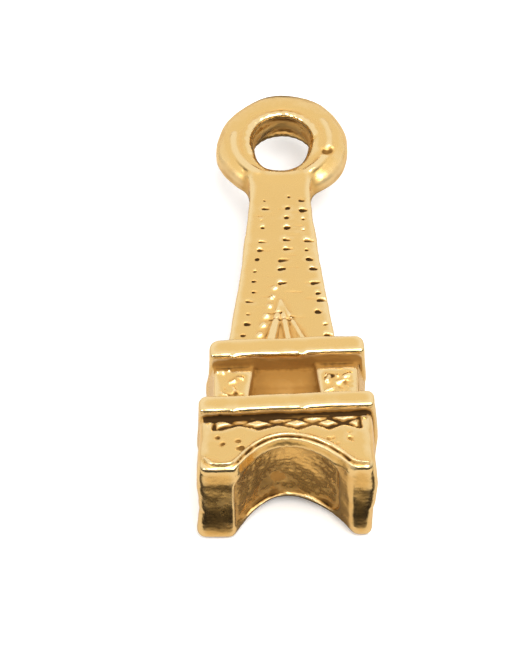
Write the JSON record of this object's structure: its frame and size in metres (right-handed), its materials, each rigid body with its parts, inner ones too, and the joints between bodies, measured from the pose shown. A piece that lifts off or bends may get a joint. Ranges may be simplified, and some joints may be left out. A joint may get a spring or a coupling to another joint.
{
  "type": "lattice tower charm",
  "caption": "Gold-plated cast lattice-tower charm with decks, an arched hollow base and a round hanging eye.",
  "frame": {"origin": "lowest level of the back, under the middle of the charm's outline: the charm lies on its back on Z = 0", "axes": "+X across the tower to the viewer's right, +Y along the tower from the foot ends to the hanging eye, +Z out of the front face"},
  "size_m": [0.0082, 0.0254, 0.0054],
  "materials": {
    "gold_plating": "warm gold plating over a cast alloy, satin on broad faces and bright on edges"
  },
  "bodies": {
    "root": {"arch_front": "gold_plating", "arch_rear": "gold_plating", "base_roof": "gold_plating", "hanging_eye_ring": "gold_plating", "lower_deck": "gold_plating", "mid_core": "gold_plating", "mid_post_front_left": "gold_plating", "mid_post_front_right": "gold_plating", "mid_post_rear_left": "gold_plating", "mid_post_rear_right": "gold_plating", "pier_front_left": "gold_plating", "pier_front_right": "gold_plating", "pier_rear_left": "gold_plating", "pier_rear_right": "gold_plating", "ring_neck": "gold_plating", "shaft_ribs_front": "gold_plating", "shaft_ribs_rear": "gold_plating", "side_wall_left": "gold_plating", "side_wall_right": "gold_plating", "spire_shaft": "gold_plating", "upper_deck": "gold_plating"}
  },
  "joints": []
}
